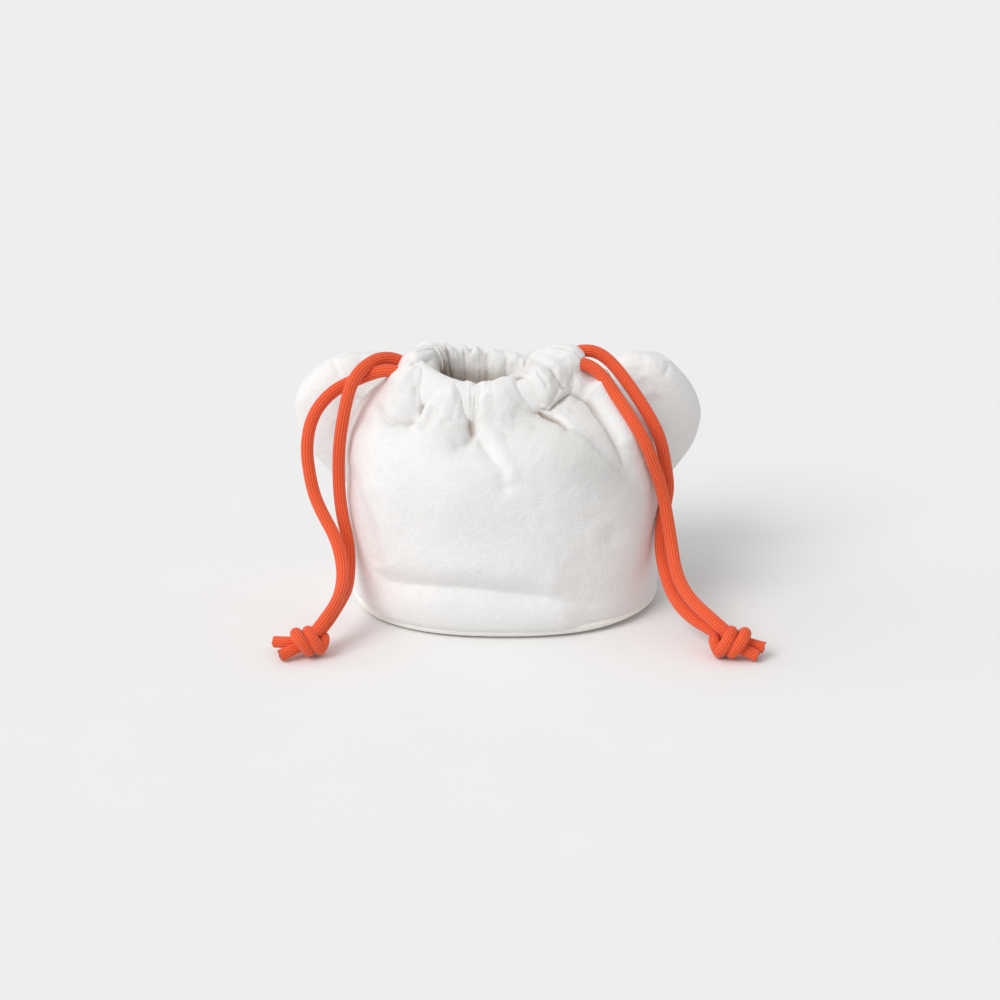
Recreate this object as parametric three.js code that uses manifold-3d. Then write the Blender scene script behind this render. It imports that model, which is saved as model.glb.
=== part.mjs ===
// A small plush drawstring pouch: a soft oval cup of cloth on an oval base panel, gathered into a
// folded casing round its mouth, with two padded round ears and two drawcords. Each cord runs round
// the whole mouth and leaves at its own side, where its two strands end in one knot on the table.
// Frame: X to the right, Y to the back, Z up, origin in the middle of the base's underside.

import * as THREE from "three";
import { ParametricGeometry } from "three/addons/geometries/ParametricGeometry.js";
import { mergeVertices } from "three/addons/utils/BufferGeometryUtils.js";
import Module from "manifold-3d";

// Driving dimensions, in millimetres and degrees
const GAP = 0.3; // between pieces that touch
const WALL = 2.2; // the body's plush cloth
const BASE = { halfWidth: 67.5, halfDepth: 52.5, squareness: 2.4, rimHeight: 4 };
const CASING = {
  halfWidth: 36,
  halfDepth: 20.6,
  shift: -6, // the mouth is drawn a little to the left
  midHeight: 102.9,
  saddle: 4.5, // its sides stand higher than its front and back
  tilt: 1.2, // its back stands higher than its front
  halfThickness: 6.2,
  halfHeight: 8.9,
  tunnelHalfThickness: 4.4,
  tunnelHalfHeight: 7.1,
  squareness: 2.6,
  lean: 0.45, // inward for each millimetre up
  sideGap: 22, // from straight sideways to where each half ends
};
const PLEATS = {
  count: 20,
  depth: 0.9, // in the casing
  bodyDepth: 1.1, // in the body below it
  rimWave: 0.7,
  startLevel: 5.6, // rows of the section table between which the body's gathers grow
  fullLevel: 8.2,
};
const CORD = {
  radius: 2.8,
  level: 2.85, // above or below the middle of the tunnel
  leaveAngle: 20, // from straight sideways to where each strand leaves the tunnel
  sides: 10,
  stepLength: 14,
  ringStepLength: 7,
};
const EAR = { x: 66, y: 29, z: 74.6, radius: 27, tallness: 1.1, halfThickness: 9.5, fullness: 0.75 };
const KNOT = { along: 8.3, across: 7.8, up: 7.2, tailRadius: 2.7 };

// The free strands of each cord, from the mouth to the knot, as points along the middle of the cord
const STRANDS = {
  left_front: [
    [-46.5, -4.6, 105.3], [-51, -4.8, 105.3], [-56.5, -4.4, 103.9], [-62.5, -2.6, 101.5], [-66.7, -2.4, 100.1],
    [-72.8, -4.5, 97.7], [-79.4, -8.5, 92.6], [-83.4, -12.5, 86.8], [-85.4, -15.5, 79.2], [-85.8, -17, 71],
    [-84.5, -19.8, 62.5], [-82.8, -22, 54.5], [-78.5, -27, 46.5], [-73.5, -32, 39], [-71, -37, 33],
    [-69.5, -43, 27], [-70, -54, 22], [-72.5, -65, 19], [-76.5, -71, 15.5], [-80, -72.5, 11],
  ],
  left_back: [
    [-46.5, 4.6, 106.3], [-52, 3.9, 109.2], [-57, 0.8, 110.2], [-61.2, -3.7, 109.3], [-65.6, -9.8, 105.8],
    [-67.9, -13.8, 99.8], [-69.5, -15.5, 89.5], [-71.3, -15, 76], [-72.2, -14.6, 65], [-72, -16, 52.5],
    [-70.5, -20, 42], [-68, -24, 32], [-67.5, -29, 24], [-68, -38, 18], [-69.5, -48.5, 17],
    [-72.5, -57, 14.6], [-76, -62.4, 10.6], [-80.5, -69.5, 8.2],
  ],
  right_front: [
    [32.5, -4.2, 111], [38, -5, 110.3], [42.5, -7.5, 107], [47.5, -11.5, 100.5], [52.5, -17.5, 94.5],
    [58, -24.6, 87.5], [62.6, -27.6, 79.9], [65.5, -27, 71.5], [68.5, -25.5, 63], [70.5, -25, 55.5],
    [72.2, -27, 47], [74.4, -33, 34.5], [76, -42.5, 26], [80.4, -55, 20.5], [87, -66, 17.2],
    [92.8, -72, 14], [96.5, -73.5, 11],
  ],
  right_back: [
    [32.5, 4.2, 111.3], [38, 4, 112.2], [44, 3, 110], [50, -1.5, 105], [55.7, -7, 98.5],
    [60.4, -11.6, 92.5], [64.7, -15, 86.1], [68.3, -16.6, 79], [70.6, -16.4, 70.8], [72.4, -15.6, 62.8],
    [73.6, -14.5, 55.2], [72.5, -15.5, 48.5], [70.5, -21, 40], [70, -26, 30], [71.5, -34, 23],
    [74.5, -45, 16.5], [80, -56, 12.5], [87, -63, 10], [91.5, -66.5, 9], [95.5, -71, 7.5],
  ],
};
const KNOTS = {
  left: {
    centre: [-83, -73, KNOT.up],
    heading: 197,
    tails: [
      { from: [-85, -71.5, 6.8], to: [-98, -68.5, 5] },
      { from: [-85, -75, 5.5], to: [-94.5, -78.5, 3] },
    ],
  },
  right: {
    centre: [98, -74, KNOT.up],
    heading: -10,
    tails: [
      { from: [100, -72, 7.5], to: [113, -74, 5.4] },
      { from: [100, -76.5, 5.5], to: [109.5, -79, 3] },
    ],
  },
};

// The body from its lower edge to the neck seam, one row for each section
const SECTIONS = [
  { height: 4.3, halfWidth: 67, halfDepth: 52, squareness: 2.4, shift: 0, saddle: 0, tilt: 0 },
  { height: 14, halfWidth: 67.8, halfDepth: 53, squareness: 2.4, shift: 0, saddle: 0, tilt: 0 },
  { height: 33, halfWidth: 68.8, halfDepth: 53.4, squareness: 2.35, shift: 0, saddle: 0, tilt: 0 },
  { height: 52, halfWidth: 69.8, halfDepth: 53, squareness: 2.3, shift: 0, saddle: 0, tilt: 0 },
  { height: 66, halfWidth: 69.5, halfDepth: 51.5, squareness: 2.3, shift: 0, saddle: 0.6, tilt: 0 },
  { height: 79, halfWidth: 66.8, halfDepth: 47.5, squareness: 2.25, shift: -0.4, saddle: 2.4, tilt: 0.2 },
  { height: 86.3, halfWidth: 60.5, halfDepth: 41, squareness: 2.2, shift: -1.6, saddle: 3.6, tilt: 0.5 },
  { height: 91, halfWidth: 52.4, halfDepth: 34.6, squareness: 2.15, shift: -3.8, saddle: 4.8, tilt: 0.9 },
  { height: 92.9, halfWidth: 45.8, halfDepth: 29.6, squareness: 2.1, shift: -5.6, saddle: 4.7, tilt: 1.1 },
  { height: 94, halfWidth: 43.4, halfDepth: 27.6, squareness: 2.1, shift: -6, saddle: 4.5, tilt: 1.2 },
];
const TOP_ROW = SECTIONS.length - 1;

// Folds of the body's cloth, one row for each straight stretch: it runs between two points beside the
// cloth, and moves it out, or in where the depth is negative, over about the width on each side
const FOLDS = [
  { name: "waist crease, left", from: [-57, -34, 23], to: [-10, -53, 22], width: 5, depth: -2.4 },
  { name: "waist crease, right", from: [-10, -53, 22], to: [43, -45, 15], width: 5, depth: -2.2 },
  { name: "overhang", from: [-50, -41, 34], to: [28, -51, 28], width: 9, depth: 1.6 },
  { name: "left edge, upper", from: [-64.5, -23, 66], to: [-55, -36.4, 44], width: 5, depth: -2 },
  { name: "left edge, lower", from: [-55, -36.4, 44], to: [-54, -37, 30], width: 5, depth: -1.6 },
  { name: "centre dimple", from: [-15, -29, 89], to: [-12.6, -32, 87.5], width: 4.5, depth: -4.5 },
  { name: "centre pocket", from: [-13, -33, 87], to: [-20, -41, 82], width: 5, depth: -2.2 },
  { name: "centre ridge", from: [-11, -40, 83.5], to: [0, -51, 67], width: 4.5, depth: 1.8 },
  { name: "right tuck", from: [13, -29, 89], to: [28.7, -35, 85.5], width: 4.5, depth: -3.8 },
  { name: "right ridge", from: [28.7, -35.5, 85.5], to: [54, -36, 66.4], width: 6, depth: 2 },
  { name: "right valley, upper", from: [34, -18, 95], to: [47, -30.6, 83.8], width: 6, depth: -2.4 },
  { name: "right valley, lower", from: [47, -30.6, 83.8], to: [52, -35, 74], width: 6, depth: -2 },
  { name: "right corner", from: [50, -40, 62], to: [47, -43, 30], width: 10, depth: 1.2 },
  { name: "left puff", from: [-47, -12, 96], to: [-46, -18, 95], width: 8, depth: 2.2 },
  { name: "puff crease", from: [-56, -16, 91], to: [-36, -30, 90.5], width: 4.5, depth: -2.4 },
  { name: "left valley", from: [-45, -30, 87], to: [-62, -26, 70], width: 6, depth: -1.4 },
  { name: "back waist crease", from: [40, 47, 20], to: [-36, 48, 24], width: 6, depth: -1.8 },
  { name: "back gather, right", from: [14, 33, 90], to: [24, 47, 70], width: 6, depth: -1.8 },
  { name: "back gather, left", from: [-24, 34, 89], to: [-36, 44, 72], width: 6, depth: -1.6 },
];

const radians = THREE.MathUtils.degToRad;
const signedPower = (value, power) => Math.sign(value) * Math.abs(value) ** power;

// Angles run from the front (0) over the right (90) to the back (180)
function ovalPoint(angle, halfWidth, halfDepth, squareness) {
  const x = halfWidth * signedPower(Math.sin(angle), 2 / squareness);
  const y = -halfDepth * signedPower(Math.cos(angle), 2 / squareness);
  return new THREE.Vector3(x, y, 0);
}

// A column of the section table at any level, smoothly between its rows
function sectionAt(column, level) {
  const row = Math.min(Math.floor(level), TOP_ROW - 1);
  const value = (index) => SECTIONS[THREE.MathUtils.clamp(index, 0, TOP_ROW)][column];
  const [before, from, to, after] = [-1, 0, 1, 2].map((step) => value(row + step));
  const t = level - row;
  const slopeFrom = (to - before) / 2;
  const slopeTo = (after - from) / 2;
  const ease = t * t * (3 - 2 * t);
  return from + (to - from) * ease + slopeFrom * t * (1 - t) ** 2 - slopeTo * t * t * (1 - t);
}

function plainBodyPoint(angle, level) {
  const column = (name) => sectionAt(name, level);
  const point = ovalPoint(angle, column("halfWidth"), column("halfDepth"), column("squareness"));
  point.x += column("shift");
  point.z = column("height") - column("saddle") * Math.cos(2 * angle) - column("tilt") * Math.cos(angle);
  return point;
}

function bodyNormal(angle, level) {
  const step = 0.01;
  const low = Math.max(level - step, 0);
  const high = Math.min(level + step, TOP_ROW);
  const round = plainBodyPoint(angle + step, level).sub(plainBodyPoint(angle - step, level));
  const up = plainBodyPoint(angle, high).sub(plainBodyPoint(angle, low));
  return round.cross(up).normalize();
}

// The gathers are uneven: the angle is warped before it is counted in pleats
function pleatWave(angle) {
  const warped = angle + 0.07 * Math.sin(3 * angle + 1) + 0.04 * Math.sin(5 * angle + 2.4);
  return Math.cos(PLEATS.count * warped);
}

const foldLines = FOLDS.map(({ from, to }) => {
  return new THREE.Line3(new THREE.Vector3(...from), new THREE.Vector3(...to));
});

// How far the folds move a point of the smooth body
function foldOut(point) {
  const nearest = new THREE.Vector3();
  return FOLDS.reduce((sum, { width, depth }, index) => {
    foldLines[index].closestPointToPoint(point, true, nearest);
    return sum + depth * Math.exp(-point.distanceToSquared(nearest) / width ** 2);
  }, 0);
}

// A point of the body's cloth, moved out along its normal by the offset, the folds and the gathers
function bodyPoint(angle, level, offset) {
  const point = plainBodyPoint(angle, level);
  const gather = THREE.MathUtils.smoothstep(level, PLEATS.startLevel, PLEATS.fullLevel);
  const out = offset + foldOut(point) + PLEATS.bodyDepth * gather * pleatWave(angle);
  return point.addScaledVector(bodyNormal(angle, level), out);
}

// A place in the casing's ring: outward from the tunnel's middle line, and up from it
function ringPoint(angle, outward, up) {
  const middle = ovalPoint(angle, CASING.halfWidth, CASING.halfDepth, 2);
  const normal = new THREE.Vector3(
    middle.x / CASING.halfWidth ** 2,
    middle.y / CASING.halfDepth ** 2,
    0,
  ).normalize();
  const point = middle.addScaledVector(normal, outward - CASING.lean * up);
  point.x += CASING.shift;
  const rise = CASING.saddle * Math.cos(2 * angle) + CASING.tilt * Math.cos(angle);
  point.z = CASING.midHeight - rise + up;
  return point;
}

const wasm = await Module();
wasm.setup();

// Leaves one closed surface: shared corners merged, collapsed triangles dropped, faces outward
function closed(geometry) {
  const plain = geometry.clone();
  plain.deleteAttribute("normal");
  plain.deleteAttribute("uv");
  const merged = mergeVertices(plain, 1e-3);
  const corners = merged.index.array;
  const place = merged.attributes.position;
  const kept = [];
  let volume = 0;
  for (let i = 0; i < corners.length; i += 3) {
    const [a, b, c] = [corners[i], corners[i + 1], corners[i + 2]];
    if (a === b || b === c || c === a) continue;
    kept.push(a, b, c);
    const [p, q, r] = [a, b, c].map((k) => new THREE.Vector3().fromBufferAttribute(place, k));
    volume += p.dot(q.cross(r));
  }
  merged.setIndex(volume < 0 ? kept.reverse() : kept);
  return merged;
}

const turnOf = (index, count) => (2 * Math.PI * (index % count)) / count;

// A closed surface over a grid, from a function of two whole numbers: column round, row along
function gridSurface(columns, rows, pointAt) {
  const surface = (u, v, target) => {
    target.copy(pointAt(Math.round(u * columns), Math.round(v * rows)));
  };
  return closed(new ParametricGeometry(surface, columns, rows));
}

function solidOf(geometry) {
  const { position } = geometry.attributes;
  return new wasm.Manifold(
    new wasm.Mesh({
      numProp: 3,
      vertProperties: new Float32Array(position.array),
      triVerts: new Uint32Array(geometry.index.array),
    }),
  );
}

function geometryOf(solid) {
  const { vertProperties, triVerts } = solid.getMesh();
  const geometry = new THREE.BufferGeometry();
  geometry.setAttribute("position", new THREE.BufferAttribute(vertProperties, 3));
  geometry.setIndex(new THREE.BufferAttribute(triVerts, 1));
  return geometry;
}

const BODY_COLUMNS = 80;
const BODY_LEVELS = [0, 1, 1.5, 2, 2.6, 3.3, 4, 4.7, 5.3, 5.9, 6.5, 7.1, 7.8, 8.5, 9];

// The body is a tube of cloth: up its outside, over the neck edge, down its inside
function bodyGeometry() {
  const loop = [
    ...BODY_LEVELS.map((level) => [level, 0]),
    ...BODY_LEVELS.toReversed().map((level) => [level, -WALL]),
  ];
  return gridSurface(BODY_COLUMNS, loop.length, (column, row) => {
    const [level, offset] = loop[row % loop.length];
    return bodyPoint(turnOf(column, BODY_COLUMNS), level, offset);
  });
}

// The base panel: a shallow dish of cloth whose rim turns up to meet the body
function baseGeometry() {
  const columns = 60;
  const profile = [
    { inset: Infinity, height: 0 },
    { inset: 6, height: 0 },
    { inset: 2.6, height: 0.6 },
    { inset: 0.6, height: 2 },
    { inset: 0, height: BASE.rimHeight },
    { inset: WALL, height: BASE.rimHeight },
    { inset: WALL + 1.4, height: WALL + 0.5 },
    { inset: WALL + 5, height: WALL },
    { inset: Infinity, height: WALL },
  ];
  return gridSurface(columns, profile.length - 1, (column, row) => {
    const { inset, height } = profile[row];
    const halfWidth = Math.max(BASE.halfWidth - inset, 0);
    const halfDepth = Math.max(BASE.halfDepth - inset, 0);
    return ovalPoint(turnOf(column, columns), halfWidth, halfDepth, BASE.squareness).setZ(height);
  });
}

// One half of the casing: a flat gathered tube, open at both ends, from one side gap to the other
function casingGeometry(middleAngle) {
  const sectionCorners = 12;
  const outerSteps = 40;
  const tunnelSteps = 20;
  const reach = radians(90 - CASING.sideGap);
  const outer = Array.from({ length: outerSteps + 1 }, (_, i) => ({
    angle: middleAngle + reach * ((2 * i) / outerSteps - 1),
    tunnel: false,
  }));
  const tunnel = Array.from({ length: tunnelSteps + 1 }, (_, i) => ({
    angle: middleAngle + reach * (1 - (2 * i) / tunnelSteps),
    tunnel: true,
  }));
  const path = [...outer, ...tunnel];
  return gridSurface(sectionCorners, path.length, (corner, row) => {
    const { angle, tunnel: inside } = path[row % path.length];
    const turn = turnOf(corner, sectionCorners);
    const across = signedPower(Math.cos(turn), 2 / CASING.squareness);
    const up = signedPower(Math.sin(turn), 2 / CASING.squareness);
    if (inside) {
      return ringPoint(angle, CASING.tunnelHalfThickness * across, CASING.tunnelHalfHeight * up);
    }
    const pleat = pleatWave(angle);
    const thickness = CASING.halfThickness + PLEATS.depth * pleat;
    const height = CASING.halfHeight + (up > 0 ? PLEATS.rimWave * pleat * up : 0);
    return ringPoint(angle, thickness * across, height * up);
  });
}

// The body filled to its outer face and grown by the gap, which the ears are cut back to
function bodyEnvelope() {
  const middle = (level) => new THREE.Vector3(sectionAt("shift", level), 0, sectionAt("height", level));
  const lastRow = BODY_LEVELS.length + 1;
  return gridSurface(BODY_COLUMNS, lastRow, (column, row) => {
    if (row === 0) return middle(0);
    if (row === lastRow) return middle(TOP_ROW);
    return bodyPoint(turnOf(column, BODY_COLUMNS), BODY_LEVELS[row - 1], GAP);
  });
}

// An ear: a stuffed disc standing in the X Z plane, cut to the curve of the body that it is sewn to
function earGeometry(side) {
  const profileSteps = 10;
  const profile = Array.from({ length: profileSteps + 1 }, (_, i) => {
    const turn = Math.PI * (i / profileSteps - 0.5);
    const radius = EAR.radius * Math.abs(Math.cos(turn)) ** EAR.fullness;
    return new THREE.Vector2(i % profileSteps ? radius : 0, EAR.halfThickness * Math.sin(turn));
  });
  const disc = new THREE.LatheGeometry(profile, 30)
    .scale(1, 1, EAR.tallness)
    .translate(side * EAR.x, EAR.y, EAR.z);
  return geometryOf(solidOf(closed(disc)).subtract(solidOf(bodyEnvelope())));
}

// A stretch of a longer curve, between two fractions of its length
class Stretch extends THREE.Curve {
  constructor(whole, start, end) {
    super();
    Object.assign(this, { whole, start, end });
  }

  getPoint(fraction, target) {
    const along = THREE.MathUtils.lerp(this.start, this.end, fraction);
    return this.whole.getPointAt(THREE.MathUtils.clamp(along, 0, 1), target);
  }
}

const vectors = (points) => points.map((point) => new THREE.Vector3(...point));

function tube(curve, radius, stepLength) {
  const corners = Array.from({ length: CORD.sides }, (_, i) => {
    const turn = turnOf(i, CORD.sides);
    return new THREE.Vector2(radius * Math.cos(turn), radius * Math.sin(turn));
  });
  const steps = Math.max(1, Math.ceil(curve.getLength() / stepLength));
  const section = new THREE.Shape(corners);
  return closed(new THREE.ExtrudeGeometry(section, { steps, extrudePath: curve }));
}

// A knot: a round lump of cord with the two cut tails standing out of it, all grown by some amount
function knotSolid({ centre, heading, tails }, grown) {
  const lump = new THREE.SphereGeometry(1, 18, 12)
    .rotateX(radians(90))
    .scale(KNOT.along + grown, KNOT.across + grown, KNOT.up + grown)
    .rotateZ(radians(heading))
    .translate(...centre);
  return tails.reduce((solid, { from, to }) => {
    const line = new THREE.LineCurve3(...vectors([from, to]));
    return solid.add(solidOf(tube(line, KNOT.tailRadius + grown, Infinity)));
  }, solidOf(closed(lump)));
}

// One drawcord: its two strands, cut back to the knot, the stretch that runs round in the tunnel, and
// the knot itself
function cordPieces(name, side, level) {
  const [front, back] = [vectors(STRANDS[name + "_front"]), vectors(STRANDS[name + "_back"])];
  const ringPoints = 24;
  const pointDivisions = 20;
  const firstAngle = 90 - CORD.leaveAngle;
  const ring = Array.from({ length: ringPoints }, (_, i) => {
    const turned = (360 - 2 * CORD.leaveAngle) * (i / (ringPoints - 1));
    return ringPoint(radians(side * (firstAngle - turned)), 0, level);
  });
  const points = [...front.toReversed(), ...ring, ...back];
  const whole = new THREE.CatmullRomCurve3(points);
  whole.arcLengthDivisions = pointDivisions * (points.length - 1);
  const lengths = whole.getLengths();
  const length = lengths.at(-1);
  const fractionAt = (index) => lengths[pointDivisions * index] / length;
  const [leave, enter] = [fractionAt(front.length - 1), fractionAt(points.length - back.length)];
  const half = GAP / length / 2;
  const inside = new Stretch(whole, leave + half, enter - half);
  const knot = knotSolid(KNOTS[name], GAP);
  const strand = (start, end) => {
    const solid = solidOf(tube(new Stretch(whole, start, end), CORD.radius, CORD.stepLength));
    return geometryOf(solid.subtract(knot));
  };
  return [
    piece(`cord_${name}_front`, strand(0, leave - half), braid),
    piece(`cord_${name}_back`, strand(enter + half, 1), braid),
    piece(`cord_${name}_in_casing`, tube(inside, CORD.radius, CORD.ringStepLength), braid),
    piece(`knot_${name}`, geometryOf(knotSolid(KNOTS[name], 0)), braid),
  ];
}

const braid = { color: 0xf0431f, roughness: 0.8, metalness: 0 };
const plush = { color: 0xf3f1ec, roughness: 0.95, metalness: 0 };

function piece(name, geometry, finish) {
  const mesh = new THREE.Mesh(geometry, new THREE.MeshStandardMaterial(finish));
  mesh.name = name;
  return mesh;
}

const pouch = new THREE.Group();
pouch.add(
  piece("pouch_body", bodyGeometry(), plush),
  piece("base_panel", baseGeometry(), plush),
  piece("casing_front", casingGeometry(0), plush),
  piece("casing_back", casingGeometry(Math.PI), plush),
  piece("ear_left", earGeometry(-1), plush),
  piece("ear_right", earGeometry(1), plush),
  ...cordPieces("left", -1, -CORD.level),
  ...cordPieces("right", 1, CORD.level),
);

export default pouch;
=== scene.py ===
# %% [markdown]
# # A plush drawstring pouch
# The pouch is a soft oval cup of white short-pile cloth that stands on its own base. A folded hem
# round the mouth, the casing, holds two cords that draw it shut, and two stuffed round ears are sewn
# to its sides. This lesson builds each piece in millimetres, in the frame of the measured solids.

# %% Load the measured frame
import math
from collections import namedtuple

import bpy
import numpy as np
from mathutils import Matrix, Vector, noise


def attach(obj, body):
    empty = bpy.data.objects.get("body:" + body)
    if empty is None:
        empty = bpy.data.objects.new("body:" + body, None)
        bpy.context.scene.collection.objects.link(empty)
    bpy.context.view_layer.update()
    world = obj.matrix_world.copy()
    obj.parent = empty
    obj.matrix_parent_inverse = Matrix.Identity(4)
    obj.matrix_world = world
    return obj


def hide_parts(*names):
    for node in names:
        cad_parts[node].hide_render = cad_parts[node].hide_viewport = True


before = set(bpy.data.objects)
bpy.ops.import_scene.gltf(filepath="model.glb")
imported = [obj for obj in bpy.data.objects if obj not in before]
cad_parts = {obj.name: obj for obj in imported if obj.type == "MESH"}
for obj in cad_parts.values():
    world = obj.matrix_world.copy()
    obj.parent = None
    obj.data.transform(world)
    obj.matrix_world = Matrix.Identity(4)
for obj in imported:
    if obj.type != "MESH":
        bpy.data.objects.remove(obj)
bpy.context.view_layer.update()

MM = 0.001
scene = bpy.context.scene

# %% [markdown]
# ## The camera
# A small object is photographed from a little over a metre away with a long lens, so that its width
# and depth keep their proportions. The camera looks down by 22 degrees, which shows the mouth's
# hollow and keeps the base's front edge in sight. It stands straight in front, with no shift.

# %% Make the camera
CAMERA_DISTANCE = 1100 * MM
CAMERA_RISE = math.radians(22)
LOOK_AT = Vector((-1, 0, 43)) * MM
SENSOR_WIDTH = 36  # millimetres
LENS = 88  # millimetres


def new_object(name, data):
    made = bpy.data.objects.new(name, data)
    scene.collection.objects.link(made)
    return made


camera = new_object("camera", bpy.data.cameras.new("camera"))
backward = Vector((0, -math.cos(CAMERA_RISE), math.sin(CAMERA_RISE)))
camera.location = LOOK_AT + backward * CAMERA_DISTANCE
camera.rotation_euler = backward.to_track_quat("Z", "Y").to_euler()
camera.data.sensor_width = SENSOR_WIDTH
camera.data.lens = LENS
scene.camera = camera
print("camera at", [round(v, 3) for v in camera.location])

# %% [markdown]
# ## Shader arithmetic
# A material is a graph of nodes, and a graph is slow to write by hand. Wrapping a socket in a small
# class lets Python's own operators add the Math nodes, so that a weave reads like a formula. Any
# other kind of node comes from one method: its type, then its settings, then its sockets.

# %% A socket that can be calculated with
class Wire:
    def __init__(self, tree, socket=None):
        self.tree = tree
        self.socket = socket

    def node(self, kind, settings=None, sockets=None, output=0):
        made = self.tree.nodes.new(kind)
        for name, value in (settings or {}).items():
            setattr(made, name, value)
        for name, value in (sockets or {}).items():
            if isinstance(value, Wire):
                self.tree.links.new(value.socket, made.inputs[name])
            else:
                made.inputs[name].default_value = value
        return Wire(self.tree, made.outputs[output])

    def math(self, operation, first, second=0.0):
        return self.node("ShaderNodeMath", {"operation": operation}, {0: first, 1: second})

    def __add__(self, other):
        return self.math("ADD", self, other)

    def __radd__(self, other):
        return self.math("ADD", other, self)

    def __sub__(self, other):
        return self.math("SUBTRACT", self, other)

    def __rsub__(self, other):
        return self.math("SUBTRACT", other, self)

    def __mul__(self, other):
        return self.math("MULTIPLY", self, other)

    def __rmul__(self, other):
        return self.math("MULTIPLY", other, self)

    def __pow__(self, other):
        return self.math("POWER", self, other)

    def __rpow__(self, other):
        return self.math("POWER", other, self)

    def __mod__(self, other):
        return self.math("FLOORED_MODULO", self, other)

    def __rmod__(self, other):
        return self.math("FLOORED_MODULO", other, self)

    def __abs__(self):
        return self.math("ABSOLUTE", self)

    def sin(self):
        return self.math("SINE", self)

    def noise(self, size, detail=2.0):
        place = self.node("ShaderNodeTexCoord", output=3)
        sockets = {"Vector": place, "Scale": 1 / (size * MM), "Detail": detail}
        return self.node("ShaderNodeTexNoise", {"noise_dimensions": "3D"}, sockets)

    def blend(self, factor, low, high):
        low, high = (colour if isinstance(colour, Wire) else (*colour, 1) for colour in (low, high))
        sockets = {0: factor, 6: low, 7: high}
        return self.node("ShaderNodeMix", {"data_type": "RGBA"}, sockets, output=2)


# %% A new finish with its one main shader
def new_finish(name, constants):
    finish = bpy.data.materials.new(name)
    finish.use_nodes = True
    shader = finish.node_tree.nodes["Principled BSDF"]
    for socket, value in constants.items():
        shader.inputs[socket].default_value = value
    return finish, Wire(finish.node_tree), shader


def feed(wire, shader, socket):
    wire.tree.links.new(wire.socket, shader.inputs[socket])


def feed_bump(height, shader, strength, depth):
    bump = {"Strength": strength, "Distance": depth * MM, "Height": height}
    feed(height.node("ShaderNodeBump", None, bump), shader, "Normal")


# %% [markdown]
# ## The plush
# Plush is a knitted ground with a short dense pile, about a millimetre long. From a metre away its
# pile shows as a soft mottle of one to two millimetres, and light that grazes it makes it glow. Two
# sizes of noise in the bump give the mottle, and the shader's own sheen gives the glow. A hair system
# could do the same, but it would not leave a mesh that another program can use. Shade is also painted
# into the colour: a warm grey in sharp creases and hollows, and a cooler grey on slopes that lie in shade.
# The mesh carries a number for each of the two at every point, and they tint the colour.

# %% The plush finish
# Painted shade, a warm grey, for the creases, the hollows and the casing's inside
RECESS_SHADE, RECESS_SHADE_COLOUR = "packed_pile", (0.42, 0.34, 0.27)
# Painted shade, a cooler grey, for two front slopes that lie in shade
FLANK_SHADE, FLANK_SHADE_COLOUR = "brushed_pile", (0.56, 0.555, 0.54)
PILE_SIZE, MOTTLE_SIZE, CLOUD_SIZE = 0.9, 2.6, 26  # of the noises, in millimetres
PILE_DEPTH = 0.5


def plush_finish(name, low, high):
    finish, start, shader = new_finish(
        name,
        {"Roughness": 0.95, "Sheen Weight": 0.35, "Sheen Roughness": 0.45, "Specular IOR Level": 0.15},
    )
    pile = start.noise(PILE_SIZE, detail=3)
    mottle = start.noise(MOTTLE_SIZE)
    cloud = start.noise(CLOUD_SIZE, detail=1)
    shade = pile * 0.35 + mottle * 0.4 + cloud * 0.25
    colour = start.blend(shade, low, high)
    # The two painted shades are laid over the pile's colour, each by its share at the point
    for attribute, tint in [(FLANK_SHADE, FLANK_SHADE_COLOUR), (RECESS_SHADE, RECESS_SHADE_COLOUR)]:
        share = start.node("ShaderNodeAttribute", {"attribute_name": attribute}, output=2)
        colour = start.blend(share, colour, tint)
    feed(colour, shader, "Base Color")
    feed_bump(pile * 0.7 + mottle * 0.8, shader, strength=0.75, depth=PILE_DEPTH)
    return finish


plush = plush_finish("plush", (0.745, 0.74, 0.73), (0.885, 0.883, 0.877))
plush_base = plush_finish("plush_base", (0.85, 0.83, 0.78), (0.94, 0.925, 0.885))
print("finishes:", plush.name, plush_base.name)

# %% [markdown]
# ## The cord's braid
# The cord is a tube of plaited yarn over a soft core. The plaits run along it as fourteen rounded ribs,
# and each rib is a row of small slanted stitches. The ribs are part of the mesh, since they show in the
# outline; the stitches are too fine for that and go into the bump and the colour. The colour has painted
# shade in the grooves between ribs and stitches and painted light on their tops.

# %% The cord finish
RIBS = 14
STITCH = 1.0  # millimetres along the cord
YARN = 0.45  # size of the yarn's fuzz
# The colours of the braid's grooves, painted in shade, and of its tops, painted in light
YARN_SHADED_GROOVE, YARN_LIT_TOP = (0.56, 0.018, 0.005), (1.0, 0.17, 0.056)
CUT_DARK, CUT_LIGHT = (0.28, 0.012, 0.006), (0.80, 0.26, 0.18)


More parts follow.
